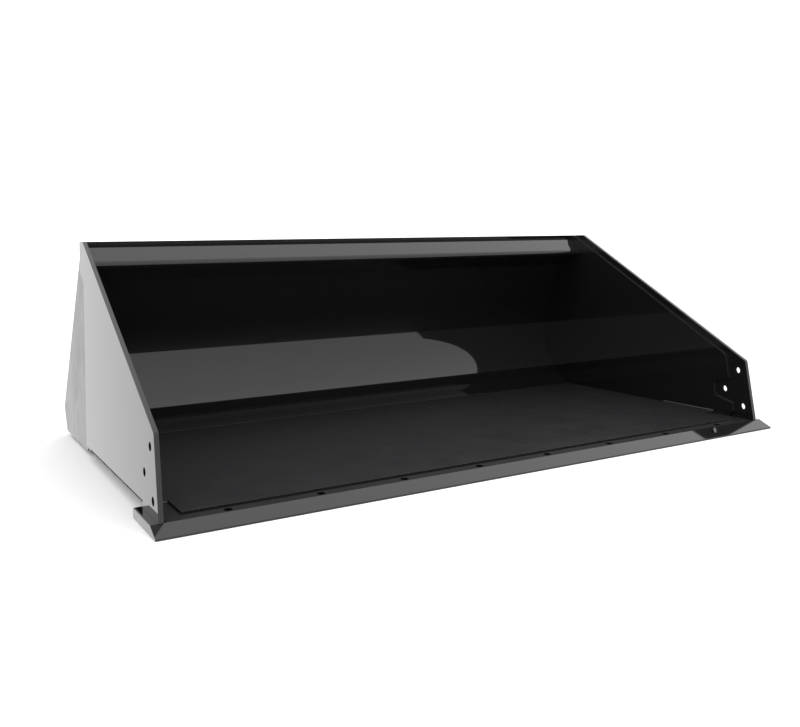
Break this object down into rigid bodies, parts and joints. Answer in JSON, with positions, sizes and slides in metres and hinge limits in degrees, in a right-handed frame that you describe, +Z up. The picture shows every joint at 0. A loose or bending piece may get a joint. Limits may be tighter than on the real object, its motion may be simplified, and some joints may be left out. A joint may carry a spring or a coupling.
{
  "type": "skid steer bucket",
  "caption": "Welded steel loader bucket with a bevelled cutting edge, doubled side plates, rolled back, boxed top lip and a quick-attach mount on the rear.",
  "frame": {"origin": "on the ground under the middle of the bucket's bounding box, with the cutting edge and wear bars flat on the ground", "axes": "+X to the right when looking in through the open front, +Y to the rear towards the machine, +Z up; the cutting edge faces -Y"},
  "size_m": [2.174, 1.4088, 0.693],
  "materials": {
    "shell_paint": "gloss black paint on rolled sheet and plate, with slight waviness",
    "edge_paint": "gloss black paint over hot-rolled wear steel, a little duller",
    "frame_paint": "semi-gloss black paint on the ribs and mount behind the bucket"
  },
  "bodies": {
    "root": {"cutting_edge": "edge_paint", "wear_bar_1": "edge_paint", "wear_bar_2": "edge_paint", "wear_bar_3": "edge_paint", "wear_bar_4": "edge_paint", "floor_sheet": "shell_paint", "back_sheet": "shell_paint", "top_channel": "shell_paint", "side_plate_left": "shell_paint", "side_plate_right": "shell_paint", "side_sheet_left": "shell_paint", "side_sheet_right": "shell_paint", "heel_plate": "frame_paint", "mount_rib_1": "frame_paint", "mount_rib_2": "frame_paint", "mount_rib_3": "frame_paint", "mount_rib_4": "frame_paint", "hook_gusset_1": "frame_paint", "hook_gusset_2": "frame_paint", "hook_gusset_3": "frame_paint", "hook_gusset_4": "frame_paint", "end_rib_left": "frame_paint", "end_rib_right": "frame_paint", "mount_plate_left": "frame_paint", "mount_plate_right": "frame_paint", "hook_rail": "frame_paint", "lower_flange": "frame_paint"}
  },
  "joints": []
}
